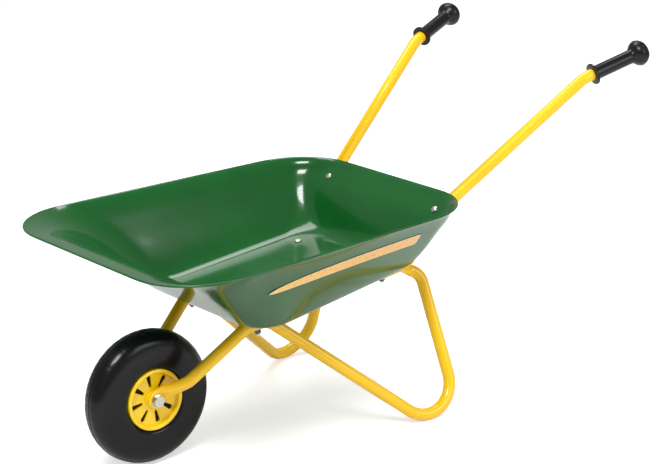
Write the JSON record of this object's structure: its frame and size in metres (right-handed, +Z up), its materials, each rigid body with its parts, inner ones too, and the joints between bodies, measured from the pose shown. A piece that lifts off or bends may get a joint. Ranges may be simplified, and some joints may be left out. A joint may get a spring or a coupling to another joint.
{
  "type": "toy wheelbarrow",
  "caption": "Child's toy wheelbarrow with a pressed green steel tray, yellow tube undercarriage with leg loops, splayed handles with black grips, and a single wheel.",
  "frame": {"origin": "on the ground, under the middle of the whole part's length and width", "axes": "+Z up; +X from the wheel back to the grips; +Y to the pusher's right; mirror image about Y = 0"},
  "size_m": [0.7968, 0.415, 0.4469],
  "materials": {
    "green_paint": "glossy dark green paint",
    "yellow_paint": "glossy yellow paint",
    "yellow_plastic": "glossy moulded yellow plastic",
    "black_tyre": "satin black blow-moulded plastic",
    "black_grip": "matt black plastic",
    "zinc": "bright zinc-plated steel",
    "decal": "glossy printed vinyl film, orange-yellow with a thin dark edge"
  },
  "bodies": {
    "frame": {"tray": "green_paint", "undercarriage_tube_left": "yellow_paint", "undercarriage_tube_right": "yellow_paint", "handle_tube_left": "yellow_paint", "handle_tube_right": "yellow_paint", "grip_left": "black_grip", "grip_right": "black_grip", "axle_bolt": "zinc", "axle_nut": "zinc", "axle_washers": "zinc", "wall_bolts": "zinc", "wall_nuts": "zinc", "floor_front_bolts": "zinc", "floor_front_nuts": "zinc", "floor_rear_bolts": "zinc", "floor_rear_nuts": "zinc", "side_decal_left": "decal", "side_decal_right": "decal"},
    "wheel": {"wheel_body": "black_tyre", "hub_cap_left": "yellow_plastic", "hub_cap_right": "yellow_plastic"}
  },
  "joints": [
    {"name": "wheel_spin", "type": "hinge", "parent": "frame", "child": "wheel", "pos_m": [-0.31094, 0, 0.0875], "axis": [0, 1, 0], "continuous": true}
  ]
}
